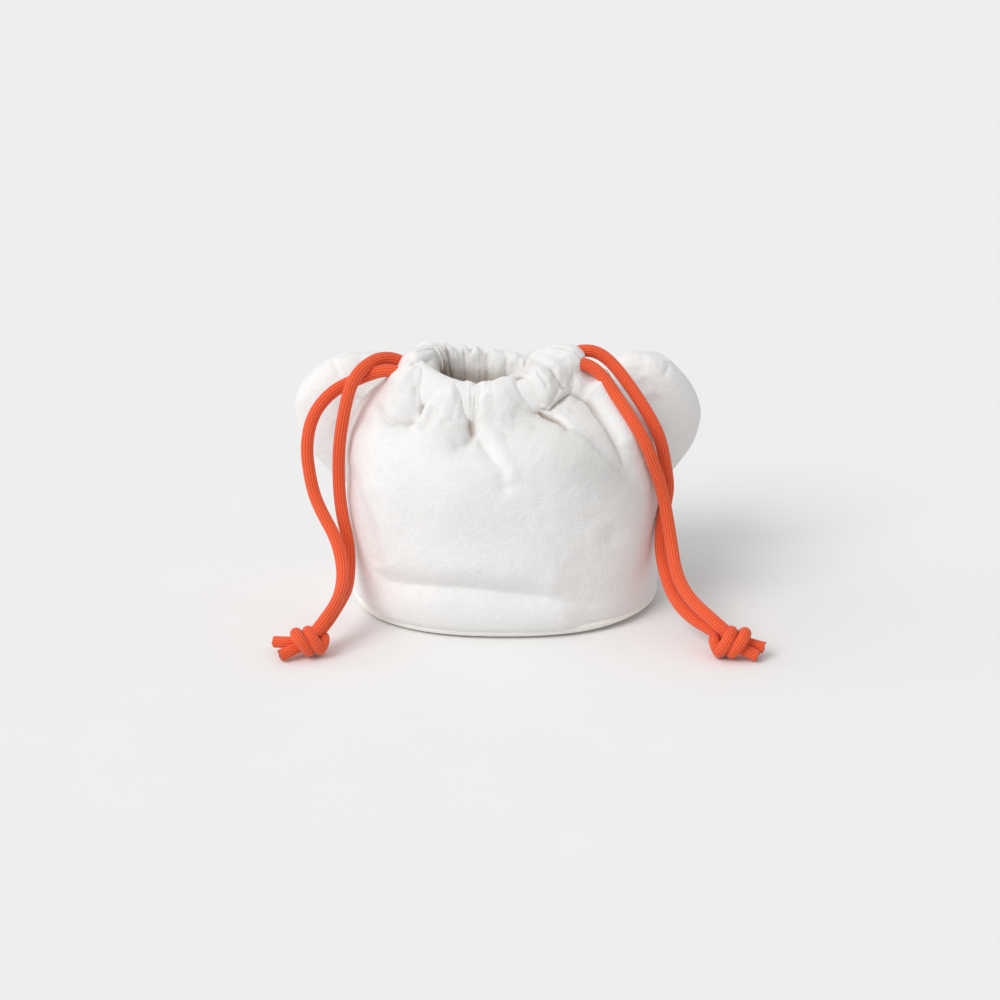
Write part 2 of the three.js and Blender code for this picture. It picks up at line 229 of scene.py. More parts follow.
def braid_finish():
    finish, start, shader = new_finish(
        "braid",
        {"Roughness": 0.8, "Sheen Weight": 0.25, "Sheen Roughness": 0.4, "Specular IOR Level": 0.25},
    )
    place = start.node("ShaderNodeSeparateXYZ", None, {0: start.node("ShaderNodeUVMap")})
    around = Wire(start.tree, place.socket.node.outputs[0])
    along = Wire(start.tree, place.socket.node.outputs[1])
    across_rib = abs((around * RIBS) % 1.0 * 2.0 - 1.0)
    rib = 1.0 - across_rib ** 2.2
    slant = across_rib * 1.7 + ((around * RIBS * 0.5) % 1.0) * 0.4
    stitch = (along * (2 * math.pi / (STITCH * MM)) + slant).sin() * 0.5 + 0.5
    height = rib * 0.45 + stitch * rib * 0.18 + start.noise(YARN) * 0.45
    # The colour follows the height: painted shade in the grooves, painted light on the tops, and a random
    # mottle from the fuzz
    feed(start.blend(height, YARN_SHADED_GROOVE, YARN_LIT_TOP), shader, "Base Color")
    feed_bump(height, shader, strength=0.85, depth=0.4)
    return finish


def cut_finish():
    finish, start, shader = new_finish("cut_yarn", {"Roughness": 0.95, "Specular IOR Level": 0.1})
    fuzz = start.noise(YARN, detail=3)
    feed(start.blend(fuzz, CUT_DARK, CUT_LIGHT), shader, "Base Color")
    feed_bump(fuzz, shader, strength=0.8, depth=0.5)
    return finish


braid = braid_finish()
cut_yarn = cut_finish()
print("finishes:", braid.name, cut_yarn.name)

# %% [markdown]
# ## From numbers to a mesh
# Every cloth and cord here is a grid: rows and columns of points bent into shape by a function. One
# helper turns such grids into a mesh, with its quads, its smooth shading and, for cords, a UV map that
# holds the turn round the cord and the length along it.

# %% Grids to pieces
def grid_faces(rows, columns, close_rows=False):
    """Quads of a grid whose columns close on themselves."""
    row, column = np.meshgrid(
        np.arange(rows if close_rows else rows - 1),
        np.arange(columns),
        indexing="ij",
    )
    next_row, next_column = (row + 1) % rows, (column + 1) % columns
    corners = [(row, column), (row, next_column), (next_row, next_column), (next_row, column)]
    return np.stack([r * columns + c for r, c in corners], axis=-1).reshape(-1, 4)


def seat(piece, node):
    """Hang a piece on the root and hide the solid that it stands for."""
    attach(piece, "root")
    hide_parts(node)


def make_piece(name, points, faces, finishes, node, face_finish=None, corner_uv=None, tints=None):
    mesh = bpy.data.meshes.new(name)
    mesh.from_pydata((np.asarray(points) * MM).tolist(), [], [list(map(int, face)) for face in faces])
    for finish in finishes:
        mesh.materials.append(finish)
    mesh.polygons.foreach_set("use_smooth", [True] * len(mesh.polygons))
    if face_finish is not None:
        mesh.polygons.foreach_set("material_index", face_finish)
    if corner_uv is not None:
        layer = mesh.uv_layers.new(name="UVMap")
        layer.data.foreach_set("uv", np.asarray(corner_uv, float).ravel())
    for attribute, share in (tints or {}).items():
        mesh.attributes.new(attribute, "FLOAT", "POINT").data.foreach_set("value", np.ravel(share))
    mesh.update()
    piece = new_object(name, mesh)
    seat(piece, node)
    print(name, len(faces), "faces")
    return piece


# %% [markdown]
# ## The cords' routes
# Each of the two cords runs once round the mouth inside the casing and comes out at its own side, so
# that pulling both closes it evenly. Its two free strands arch over the shoulder, hang down in front of
# the ear and meet in a knot on the table. A smooth spline through a few listed points gives the
# lazy curves of a soft cord; a simulated rope would swing past the places where this one lies.

# %% Points along the middle of each strand, from the casing to the knot
STRANDS = {
    "left_front": [
        (-46.5, -4.6, 106.2), (-51, -4.8, 106.6), (-56.5, -4.4, 105), (-62.5, -2.6, 101.8),
        (-66.7, -2.4, 100.1), (-72.8, -4.5, 97.7), (-79.4, -8.5, 92.6), (-83.4, -12.5, 86.8),
        (-85.4, -15.5, 79.2), (-85.8, -17, 71), (-84.5, -19.8, 62.5), (-82.8, -22, 54.5),
        (-78.5, -27, 46.5), (-73.5, -32, 39), (-71, -37, 33), (-69.5, -43, 27),
        (-70, -54, 22), (-72.5, -65, 19), (-76.5, -71, 15.5), (-80, -72.5, 11),
    ],
    "left_back": [
        (-46.5, 4.6, 108.3), (-52, 2.7, 110), (-57.3, -1.5, 109.3), (-61.7, -6.2, 107.3),
        (-65.1, -10.6, 104), (-67, -13.5, 99.3), (-69.4, -15.4, 89), (-71.5, -15, 76),
        (-72.2, -14.6, 65), (-72, -16, 52.5), (-70.5, -20, 42), (-68, -24, 32),
        (-67.5, -29, 24), (-68, -38, 18), (-69.5, -48.5, 17), (-72.5, -57, 14.6),
        (-76, -62.4, 10.6), (-80.5, -69.5, 8.2),
    ],
    "right_front": [
        (32.5, -4.2, 109.8), (38, -5, 109.1), (42.5, -7.5, 106.2), (47.5, -11.5, 100.3),
        (52.5, -17.5, 94.5), (58, -24.6, 87.5), (62.6, -27.6, 79.9), (65.5, -27, 71.5),
        (68.5, -25.5, 63), (70.5, -25, 55.5), (72.2, -27, 47), (74.4, -33, 34.5),
        (76, -42.5, 26), (80.4, -55, 20.5), (87, -66, 17.2), (92.8, -72, 14), (96.5, -73.5, 11),
    ],
    "right_back": [
        (32.5, 4.2, 111.8), (38.2, 4, 113.1), (44.2, 3, 110.9), (50.4, -1.3, 105.8),
        (56.2, -6.8, 99.3), (61, -11.4, 93.2), (65.3, -14.9, 86.7), (68.9, -16.5, 79.5),
        (71, -16.4, 71), (72.4, -15.6, 62.8), (73.6, -14.5, 55.2), (72.5, -15.5, 48.5),
        (70.5, -21, 40), (70, -26, 30), (71.5, -34, 23), (74.5, -45, 16.5),
        (80, -56, 12.5), (87, -63, 10), (91.5, -66.5, 9), (95.5, -71, 7.5),
    ],
}
print("points along the strands:", {name: len(points) for name, points in STRANDS.items()})

# %% The ring of the casing, which the cords follow round the mouth
RING = {"half_width": 36, "half_depth": 20.6, "shift": -6, "height": 102.9}
RING_RISE = {"saddle": 4.5, "tilt": 1.2, "lean": 0.45}
DIP = {"depth": 4.4, "middle": math.radians(137), "half": math.radians(26)}


def hill(value, middle, half):
    return np.exp(-(((value - middle) / half) ** 2))


def ring_point(angle, outward, up):
    """Angles run from the front over the right; outward and up are from the tunnel's middle."""
    x = RING["half_width"] * np.sin(angle)
    y = -RING["half_depth"] * np.cos(angle)
    normal = np.stack([x / RING["half_width"] ** 2, y / RING["half_depth"] ** 2], axis=-1)
    normal = normal / np.linalg.norm(normal, axis=-1, keepdims=True)
    out = outward - RING_RISE["lean"] * up
    z = RING["height"] - RING_RISE["saddle"] * np.cos(2 * angle) - RING_RISE["tilt"] * np.cos(angle) + up
    z = z - DIP["depth"] * hill(angle % (2 * np.pi), DIP["middle"], DIP["half"])
    return np.stack([x + normal[..., 0] * out + RING["shift"], y + normal[..., 1] * out, z], axis=-1)


# %% A smooth line through points, at even steps
CORD_STEP = 0.7  # between the rings of a cord
DIVISIONS = 24  # of a smooth line between two of its points


def smooth_line(points, step):
    p = np.asarray(points, float)
    p = np.vstack([2 * p[0] - p[1], p, 2 * p[-1] - p[-2]])
    gap = np.sqrt(np.linalg.norm(np.diff(p, axis=0), axis=1))[:, None]
    t = np.linspace(0, 1, DIVISIONS, endpoint=False)[:, None, None]
    p0, p1, p2, p3 = p[:-3], p[1:-2], p[2:-1], p[3:]
    g0, g1, g2 = gap[:-2], gap[1:-1], gap[2:]
    m1 = ((p1 - p0) / g0 - (p2 - p0) / (g0 + g1) + (p2 - p1) / g1) * g1
    m2 = ((p2 - p1) / g1 - (p3 - p1) / (g1 + g2) + (p3 - p2) / g2) * g1
    between = (2 * t**3 - 3 * t**2 + 1) * p1 + (t**3 - 2 * t**2 + t) * m1
    between = between + (3 * t**2 - 2 * t**3) * p2 + (t**3 - t**2) * m2
    return even_steps(np.vstack([between.transpose(1, 0, 2).reshape(-1, 3), p[-2]]), step)


def even_steps(dense, step):
    walked = np.concatenate([[0], np.cumsum(np.linalg.norm(np.diff(dense, axis=0), axis=1))])
    places = np.linspace(0, walked[-1], max(2, round(walked[-1] / step) + 1))
    return np.stack([np.interp(places, walked, dense[:, axis]) for axis in range(3)], axis=1)


def smoothstep(value, low, high):
    t = np.clip((value - low) / (high - low), 0, 1)
    return t * t * (3 - 2 * t)


def relaxed(line, reach):
    """The same line with its small wiggles averaged out; its two ends stay."""
    steps = np.arange(-reach, reach + 1)
    weight = np.exp(-2 * (steps / reach) ** 2)
    weight /= weight.sum()
    ahead = np.vstack([2 * line[0] - line[reach:0:-1], line, 2 * line[-1] - line[-2:-reach - 2:-1]])
    return np.stack([np.convolve(ahead[:, axis], weight, "valid") for axis in range(3)], axis=1)


# %% Each whole cord in one line, so that its pieces meet end to end
LEAVE_ANGLE = 20  # degrees from straight sideways to where a strand leaves the tunnel
LEVEL = 2.85  # the left cord runs below the right one in the tunnel
RING_POINTS = 24
EASE = 12  # steps over which a cord's wiggles are averaged


def whole_cord(name, side, level):
    front, back = STRANDS[name + "_front"], STRANDS[name + "_back"]
    turned = np.linspace(0, 360 - 2 * LEAVE_ANGLE, RING_POINTS)
    ring = ring_point(np.radians(side * (90 - LEAVE_ANGLE - turned)), 0.0, level)
    line = relaxed(smooth_line([*front[::-1], *ring, *back], CORD_STEP), EASE)
    leaves = np.argmin(np.linalg.norm(line - ring[0], axis=1))
    enters = np.argmin(np.linalg.norm(line - ring[-1], axis=1))
    return line[leaves::-1], line[leaves:enters + 1], line[enters:]


routes = {}
for cord_name, cord_side, cord_level in [("left", -1, -LEVEL), ("right", 1, LEVEL)]:
    parts = whole_cord(cord_name, cord_side, cord_level)
    routes.update(zip([cord_name + "_front", cord_name + "_in_casing", cord_name + "_back"], parts))

# %% [markdown]
# ## The tube round a route
# A braided cord is round with shallow grooves between its ribs. The ring of points that makes its
# section is carried along the route without turning about it, so the ribs run straight.

# %% A ribbed tube
CORD_RADIUS = 2.8
SIDES = 56
GROOVE = 0.04  # depth of the grooves as a share of the radius
CUT_END = [(0.88, 0.0), (0.6, 0.3), (0.2, 0.15)]  # rings of a cut end: share of the radius, depth
CUT_WAVES = [(0.15, 3, 0), (0.1, 7, 1)]  # its ragged edge: height, waves round the cord and phase
SKEW = (0.31, 0.17, 0.93)  # a direction that no cord starts along


def carried_frames(line, side=None, looped=False):
    tangent = np.roll(line, -1, 0) - np.roll(line, 1, 0) if looped else np.gradient(line, axis=0)
    tangent /= np.linalg.norm(tangent, axis=1, keepdims=True)
    side = np.cross(tangent[0], SKEW) if side is None else side
    sides = []
    for direction in tangent:
        side = side - direction * (side @ direction)
        side = side / np.linalg.norm(side)
        sides.append(side)
    sides = np.array(sides)
    return sides, np.cross(tangent, sides)


def ribbed_tube(line, radius, side=None, looped=False, cut=False):
    """Points, faces, their finishes and UVs of one tube, with its far end cut or its two ends joined."""
    sides, ups = carried_frames(line, side, looped)
    turn = np.linspace(0, 2 * np.pi, SIDES, endpoint=False)
    ribbed = 1 - GROOVE * np.abs(np.cos(turn * RIBS / 2)) ** 4
    ring = sides[:, None] * np.cos(turn)[None, :, None] + ups[:, None] * np.sin(turn)[None, :, None]
    points = line[:, None] + ring * np.broadcast_to(radius * ribbed, (len(line), SIDES))[..., None]
    whole_rows = len(points)
    if cut:
        out = (line[-1] - line[-2]) / np.linalg.norm(line[-1] - line[-2])
        ragged = sum(height * np.sin(waves * turn + phase) for height, waves, phase in CUT_WAVES)
        points[-1] += out * ragged[:, None]
        inner = [line[-1] + (points[-1] - line[-1]) * share - out * sunk for share, sunk in CUT_END]
        points = np.concatenate([points, inner])
    rows = len(points)
    quads = grid_faces(rows, SIDES, close_rows=looped)
    step = np.linalg.norm(np.diff(line, axis=0), axis=1).mean() * MM
    row, column = np.divmod(np.arange(len(quads)), SIDES)
    u = np.stack([column, column + 1, column + 1, column], axis=1) / SIDES
    v = np.stack([row, row, row + 1, row + 1], axis=1) * step
    uv = np.stack([u, v], axis=-1).reshape(-1, 2)
    kinds = (row >= whole_rows - 1).astype(int) if cut else np.zeros(len(quads), int)
    if looped:
        return points.reshape(-1, 3), quads.tolist(), kinds.tolist(), uv
    caps = [list(range(SIDES))[::-1], [(rows - 1) * SIDES + i for i in range(SIDES)]]
    uv = np.concatenate([uv, np.zeros((2 * SIDES, 2))])
    return points.reshape(-1, 3), [*quads.tolist(), *caps], [*kinds.tolist(), 0, int(cut)], uv


def cord_piece(name, tubes, node):
    points, faces, kinds, uvs = [], [], [], []
    for tube_points, tube_faces, tube_kinds, tube_uv in tubes:
        first = sum(map(len, points))
        points.append(tube_points)
        faces += [[first + corner for corner in face] for face in tube_faces]
        kinds += tube_kinds
        uvs.append(tube_uv)
    return make_piece(
        name, np.vstack(points), faces, [braid, cut_yarn], node, kinds, np.vstack(uvs)
    )


# %% The strands and the stretches inside the casing
for route_name, line in routes.items():
    cord_node = "cord_" + route_name
    cord_piece("braided_" + cord_node, [ribbed_tube(line, CORD_RADIUS)], cord_node)

# %% [markdown]
# ## The knots
# The two strands of a cord are tied together in one overhand knot and cut off a little beyond it. What
# shows of such a knot is two slanted wraps over the strands, which go in at one end and come out of the
# other as two tails. The strands run on through the knot, and each wrap is a closed ring of cord drawn
# tight round them, tilted as the real turns are, with a third, smaller ring where the strands go in.

# %% The knots' wraps and tails
KNOTS = {
    "left": {
        "centre": (-83, -73, 7.3),
        "heading": 197,
        "size": 0.88,
        "tails": [((-89, -71.4, 6.4), (-98, -68.9, 5.1)), ((-88.5, -75, 4.9), (-94.8, -78.2, 3.1))],
    },
    "right": {
        "centre": (98, -74, 7.3),
        "heading": -10,
        "size": 0.97,
        "tails": [((104, -72.6, 6.7), (112, -74.6, 5.0)), ((103.5, -76.2, 4.6), (109, -78.2, 2.8))],
    },
}
WRAPS = [  # place along the knot, height over its middle, radius, slant and thickness
    {"along": 2.9, "up": 0.0, "radius": 4.5, "slant": 2.9, "tube": 2.65},
    {"along": -2.9, "up": 0.1, "radius": 4.6, "slant": 2.7, "tube": 2.65},
    {"along": -6.4, "up": -1.9, "radius": 2.9, "slant": -1.4, "tube": 2.4},
]
WRAP_STEPS = 72
THROUGH = 2.55  # radius of the strands where the knot squeezes them
SQUEEZE = 12  # steps in which they are squeezed
TAIL_STEP = 0.4
LEAD = 12  # steps before a strand's end from which its way into the knot is drawn


def wrap_line(knot, wrap):
    """One closed ring. Its turn starts at the side that faces the camera and goes up."""
    heading = math.radians(knot["heading"])
    along = np.array([math.cos(heading), math.sin(heading), 0])
    facing = np.array([along[1], -along[0], 0])
    facing = facing * -np.sign(facing[1])
    turned = np.linspace(0, 2 * np.pi, WRAP_STEPS, endpoint=False)[:, None]
    forward = wrap["along"] + wrap["slant"] * np.sin(turned)
    rise = wrap["up"] + wrap["radius"] * np.sin(turned)
    ring = along * forward + facing * wrap["radius"] * np.cos(turned) + np.array([0, 0, 1]) * rise
    return np.array(knot["centre"]) + ring * knot["size"]


def through_line(strand_name, tail):
    """A strand from its free stretch on through the knot to its cut end, and its first side vector."""
    route = routes[strand_name]
    line = smooth_line([route[-LEAD], route[-1], *tail], TAIL_STEP)
    first = np.argmin(np.linalg.norm(line - route[-1], axis=1))
    return line[first:], carried_frames(route)[0][-1]


def knot_tubes(name):
    tubes = [ribbed_tube(wrap_line(KNOTS[name], wrap), wrap["tube"], looped=True) for wrap in WRAPS]
    for strand, tail in zip(("_front", "_back"), KNOTS[name]["tails"]):
        line, side = through_line(name + strand, tail)
        squeezed = CORD_RADIUS + (THROUGH - CORD_RADIUS) * smoothstep(np.arange(len(line)), 0, SQUEEZE)
        tubes.append(ribbed_tube(line, squeezed[:, None], side, cut=True))
    return tubes


knots = {name: cord_piece("tied_knot_" + name, knot_tubes(name), "knot_" + name) for name in KNOTS}

# %% Each free strand's first point and its line, in metres
for strand_name in STRANDS:
    line = routes[strand_name]
    tuple(line[0] * MM)
    (line * MM).tolist()

# %% [markdown]
# ## The cloth's smooth form
# Before it has any folds, the body is a stack of rounded ovals: upright from the base to two thirds of
# its height, then drawn in steeply to the neck. A short table gives the ovals and a smooth curve runs
# between its rows, so any point of the cloth has a place, given its turn and its level in the table.

# %% Ovals from the base seam to the neck seam
SECTIONS = np.array([  # height, half width, half depth, squareness, shift to the right, saddle, tilt
    (4.3, 69.1, 56.1, 2.38, 1.2, 0, 0),
    (14, 69.3, 55.8, 2.38, 1.2, 0, 0),
    (33, 69.5, 54.6, 2.35, 0.9, 0, 0),
    (52, 70, 53.3, 2.3, 0.4, 0, 0),
    (66, 69.5, 51.5, 2.3, 0, 0.6, 0),
    (79, 66.8, 47.5, 2.25, -0.4, 2.4, 0.2),
    (86.3, 60.5, 41, 2.2, -1.6, 3.6, 0.5),
    (91, 52.4, 34.6, 2.15, -3.8, 4.8, 0.9),
    (92.9, 45.8, 29.6, 2.1, -5.6, 4.7, 1.1),
    (94, 43.4, 27.6, 2.1, -6, 4.5, 1.2),
])
TOP = len(SECTIONS) - 1


def oval(angle, half_width, half_depth, squareness):
    across, along = np.sin(angle), -np.cos(angle)
    x = half_width * np.sign(across) * np.abs(across) ** (2 / squareness)
    y = half_depth * np.sign(along) * np.abs(along) ** (2 / squareness)
    return x, y


def section_at(level):
    row = np.clip(np.floor(level).astype(int), 0, TOP - 1)
    before, start, end, after = (SECTIONS[np.clip(row + step, 0, TOP)] for step in (-1, 0, 1, 2))
    t = (level - row)[..., None]
    ease = t * t * (3 - 2 * t)
    bend = (end - before) / 2 * t * (1 - t) ** 2 - (after - start) / 2 * t * t * (1 - t)
    return np.moveaxis(start + (end - start) * ease + bend, -1, 0)


def smooth_body(angle, level):
    height, half_width, half_depth, squareness, shift, saddle, tilt = section_at(level)
    x, y = oval(angle, half_width, half_depth, squareness)
    return np.stack([x + shift, y, height - saddle * np.cos(2 * angle) - tilt * np.cos(angle)], axis=-1)


# %% Rows of the body at even steps along its cloth
COLUMNS = 480
BODY_ROWS = 130
SEAM_ROW = BODY_ROWS - 1
TUCK = 0.014  # how far the body's foot is drawn in to the base seam, as a share of its size
TUCK_HEIGHTS = (4.3, 6.6)  # where the tuck is full and where it ends
LEVEL_SAMPLES = 400  # at which the length of the cloth is measured


def cloth_levels(count):
    fine = np.linspace(0, TOP, LEVEL_SAMPLES)
    front = smooth_body(np.zeros_like(fine), fine)
    walked = np.concatenate([[0], np.cumsum(np.linalg.norm(np.diff(front, axis=0), axis=1))])
    return np.interp(np.linspace(0, walked[-1], count), walked, fine)


turn = np.linspace(0, 2 * np.pi, COLUMNS, endpoint=False)
body_form = smooth_body(*np.meshgrid(turn, cloth_levels(BODY_ROWS)))
body_form[..., :2] *= 1 - TUCK * (1 - smoothstep(body_form[..., 2:], *TUCK_HEIGHTS))
print("the neck seam lies", body_form[-1, :, 2].min().round(1), "mm up and higher")

# %% [markdown]
# The casing is the same cloth, folded over at the top and sewn down, so the surface goes on from the
# neck seam: up the casing's outside, over its rim and down its inside. The cloth bunches into lobes
# that lean over the mouth, the largest at the right front. Where the right strands come out the edge
# stands upright, and where the left ones do it leans inwards. The rim is lowest at the left front.

# %% Rows of the casing from the neck seam to the foot of its inside
CASING_SECTION = [  # outward and up from the tunnel's middle
    (3.0, -8.9), (4.2, -6), (4.7, -3), (4.8, 0), (4.6, 3.5), (3.9, 6.3), (2.3, 8.3), (0, 9.0),
    (-2.3, 8.3), (-3.9, 6.2), (-4.6, 3), (-4.8, 0), (-4.4, -4), (-3.8, -8), (-3, -15),
]
CASING_STEP = 0.55

loop = smooth_line([(outward, up, 0) for outward, up in CASING_SECTION], CASING_STEP)[1:]
outward, up = loop[:, :1], loop[:, 1:2]
climbed = np.arange(1, len(loop) + 1)[:, None] * CASING_STEP
over_rim = climbed - climbed[np.argmax(up)]
print("rows of cloth in the casing:", len(loop))

# %% The mouth's lobes, ends and low rim
LOBES = [(13, 55, 27), (7, 128, 24), (8, 285, 22), (5, 250, 20)]  # size, middle and half in degrees
LOBE_OVER_RIM, LOBE_UP = (-3, 4), (-9, 3)
FUNNEL, FUNNEL_SPAN = 11, (1, 20)  # how far the inside draws in towards its foot, and over which stretch
LEFT_END, LEFT_END_UP = (4.6, 262, 20), (-7, 3)
RIGHT_LIP, RIGHT_LIP_UP = (4.6, 84, 14), (-1, 6)
END_SPAN = (-2, 3)
LOW_RIM = [  # depth, middle and half in degrees, and the height where it begins
    (1.7, 0, 45, 0), (1.7, 360, 45, 0), (-1.2, 230, 28, 0), (3.2, 318, 19, -1), (-1.6, 18, 14, 0),
]
RIM_TOP = 8
SEAM_BLEND = 9  # how far up the casing it is fitted to the body's top edge


def round_mouth(size, middle, half):
    return size * hill(turn, np.radians(middle), np.radians(half))


lobe = sum(round_mouth(*row) for row in LOBES)
bunched = lobe * smoothstep(over_rim, *LOBE_OVER_RIM) * smoothstep(up, *LOBE_UP)
bunched = bunched + FUNNEL * smoothstep(over_rim, *FUNNEL_SPAN)
ends = round_mouth(*LEFT_END) * smoothstep(up, *LEFT_END_UP)
ends = ends - round_mouth(*RIGHT_LIP) * smoothstep(up, *RIGHT_LIP_UP)
bunched = bunched + ends * (1 - smoothstep(over_rim, *END_SPAN))
lowered = sum(round_mouth(*row) * smoothstep(up, start, RIM_TOP) for *row, start in LOW_RIM)
casing_form = ring_point(turn, outward - bunched, up - lowered)
seam_step = body_form[-1] - ring_point(turn, *CASING_SECTION[0])
casing_form = casing_form + seam_step * (1 - smoothstep(climbed, 0, SEAM_BLEND))[..., None]
print("the rim lies up to", casing_form[..., 2].max().round(1), "mm up")

# %% One cloth, rounded where the casing meets the body
SEAM_ROUNDING = {"reach": 11, "spread": 6}  # in rows


def rounded(grid, row, reach, spread):
    """The grid with its rows near one row averaged, which rounds a corner that runs along it."""
    steps = np.arange(-3 * spread, 3 * spread + 1)
    weights = np.exp(-0.5 * (steps / spread) ** 2)
    rows = np.clip(np.arange(len(grid))[:, None] + steps, 0, len(grid) - 1)
    mean = np.tensordot(grid[rows], weights / weights.sum(), (1, 0))
    share = hill(np.arange(len(grid)), row, reach)[:, None, None]
    return grid + (mean - grid) * share


smooth_cloth = rounded(np.concatenate([body_form, casing_form]), SEAM_ROW, **SEAM_ROUNDING)
print("rows of cloth:", len(smooth_cloth))

# %% [markdown]
# ## The folds
# Soft cloth that is drawn in at the top and stands on a base gets a few large folds and many small
# ones. Each large fold in front is a line drawn on the picture, in thousandths of its width from its
# middle, and the cloth behind that line moves in for a crease or out for a ridge. A low edge number
# makes the fold sharp, several depths follow its line, and two widths are for its left and its right.
# Drawing them as they are seen keeps the ones that give this pouch its look.

# %% Large folds in front, drawn as the camera sees them
Fold = namedtuple("Fold", "width depth edge line")  # width and depth in millimetres

FRONT_FOLDS = {
    "waist crease": Fold((4.5, 3), (-1, -2.6, -3, -2.4, -1), 1.4, [
        (-126, -70), (-112, -80), (-98, -85), (-63, -88), (-40, -89), (5, -94), (37, -98), (89, -104)]),
    "above the waist": Fold(8, 1.4, 2, [(-108, -62), (-63, -67), (5, -73), (50, -80)]),
    "below the waist": Fold(8, 2.3, 2, [(-104, -108), (-40, -117), (60, -118)]),
    "left edge": Fold(4.5, -1.8, 1.5, [(-150, 30), (-140, 2), (-127, -34), (-124, -60)]),
    "left corner": Fold(6, 1.4, 2, [(-132, 10), (-116, -30), (-113, -56)]),
    "notch crease, left": Fold(1.8, -3.4, 1, [(-38, 116), (-36, 98), (-33, 85), (-28, 70)]),
    "notch crease, middle": Fold(1.1, -2, 1, [(-29, 112), (-29, 84), (-28, 72)]),
    "notch crease, right": Fold(1.4, -2.6, 1, [(-22, 113), (-24.5, 85), (-28, 71)]),
    "notch": Fold(3.2, -4.6, 1.2, [(-29, 74), (-28, 69)]),
    "hook pocket": Fold(2.8, (-3.4, -3, -2), 1.4, [(-28, 70), (-30, 62), (-35, 57), (-42, 55)]),
    "left cheek": Fold(5, 1.8, 2, [(-48, 70), (-38, 67)]),
    "right cheek": Fold(5, 1.8, 2, [(-18, 72), (-6, 66)]),
    "left front pillow": Fold(6, 1.4, 2, [(-52, 104), (-52, 84)]),
    "right front pillow": Fold(8, 1.6, 2, [(2, 104), (4, 82)]),
    "centre valley": Fold(2.6, -2.2, 1.2, [(-25, 66), (-15, 54), (-7, 41), (2, 30), (5, 12)]),
    "beside the valley": Fold(4.5, 1.1, 2, [(-4, 56), (5, 38), (10, 26)]),
    "deep fold": Fold(2.1, -5.4, 1, [(20, 124), (26, 112), (33, 100), (37.5, 89)]),
    "by the deep fold": Fold(1.3, -1.7, 1, [(14, 120), (21, 106), (26, 96)]),
    "tuck": Fold(1.5, (-4.4, -5.2, -3.4), 1, [(37.5, 89), (48, 81), (58, 73), (66, 63)]),
    "right swell": Fold((8, 11.5), (2.5, 7, 8.5, 6, 2), 1.3, [
        (40, 80), (58, 70), (66, 62), (79, 52), (92, 43), (108, 31), (124, 20)]),
    "tongue": Fold(1.8, (1.6, 0.6), 2, [(43, 89), (50, 84), (56, 79)]),
    "right seam": Fold(1.4, -2.8, 1, [(41, 91), (50, 89.5), (58.5, 97), (72, 107)]),
    "right shadow crease": Fold(2.6, (-2.2, -2.8, -3.4, -4, -2.6), 1, [
        (72, 107), (83, 100), (90, 95), (98, 85), (106, 74), (113, 60), (119, 48), (121, 36)]),
    "roll by the cord": Fold(5, 2.4, 2, [(86, 116), (100, 104), (114, 84), (126, 62)]),
    "lobe crease": Fold(1.6, -1.6, 1, [(60, 115), (54, 103), (49, 94)]),
    "lobe facet": Fold(1.4, -1.8, 1, [(51, 129), (57, 120), (63, 112), (69, 109)]),
    "stitch mark": Fold(0.8, -1.3, 1, [(38, 124), (42, 119), (45, 114)]),
    "end crease": Fold(1.5, (-0.3, -2, -3), 1, [(74, 132), (73, 120), (72, 109)]),
    "right lobe": Fold(6, 2.2, 2, [(42, 122), (46, 108)]),
    "left crease": Fold(1.9, (-4.6, -4.2, -3.4, -2.4), 1, [(-67, 127), (-75, 112), (-78, 96), (-81, 84)]),
    "by the left crease": Fold(2.4, 1.4, 2, [(-83, 77), (-72, 92)]),
    "left rim crease": Fold(1.6, -1.6, 1, [(-88, 136), (-78, 138), (-67, 134)]),
    "left small crease": Fold(1.3, -1.6, 1, [(-85, 112), (-84, 95)]),
    "left lobe": Fold(7, 3, 2, [(-100, 120), (-104, 100)]),
    "under the left lobe": Fold(2.2, (-2, -3.4, -4.4, -4.2, -3), 1.2, [
        (-122, 95), (-116, 84), (-107, 79), (-93, 79), (-82, 81)]),
    "left shoulder": Fold(5, (-2.6, -2, -1), 2, [(-82, 79), (-99, 68), (-120, 56)]),
    "left shoulder valley": Fold(4, -1.3, 2, [(-138, 80), (-146, 30)]),
    "right dent": Fold(4, -1.4, 2, [(113, -33), (112, -38)]),
}
# Places in front where a cooler shade is painted, with the tint's share as their depth
FLANK_SHADE_PLACES = {
    "under the swell": Fold((2, 17), (0.5, 0.75, 0.6, 0.2), 2, [
        (52, 72), (66, 61), (79, 51), (92, 42), (108, 30), (124, 19)]),
    "by the hook": Fold(6, 0.35, 2, [(-52, 68), (-44, 58)]),
}
# Folds at the back, as lines of x and z in millimetres
BACK_FOLDS = {
    "waist crease": Fold(3.6, (-1.4, -3, -3.2, -1.4), 1.4, [(54, 15), (24, 20), (-10, 23), (-50, 27)]),
    "above the waist": Fold(9, (0.8, 2.2, 2.2, 0.8), 2, [(30, 32), (-30, 36)]),
    "right gather": Fold(3, -3, 1.4, [(11, 103), (13, 92), (17, 84), (27, 68)]),
    "middle gather": Fold(2.6, -2.6, 1.4, [(-9, 102), (-8, 90), (-4, 78)]),
    "left gather": Fold(3, -2.8, 1.4, [(-29, 102), (-29, 91), (-34, 82), (-43, 68)]),
    "right swell": Fold(8, 1.6, 2, [(3, 86), (10, 70)]),
    "left swell": Fold(8, 1.6, 2, [(-18, 86), (-22, 70)]),
}
print("large folds:", len(FRONT_FOLDS), "in front,", len(BACK_FOLDS), "at the back")

# %% How far folds move the cloth
IMAGE_WIDTH = 1000  # the drawing's units across the picture


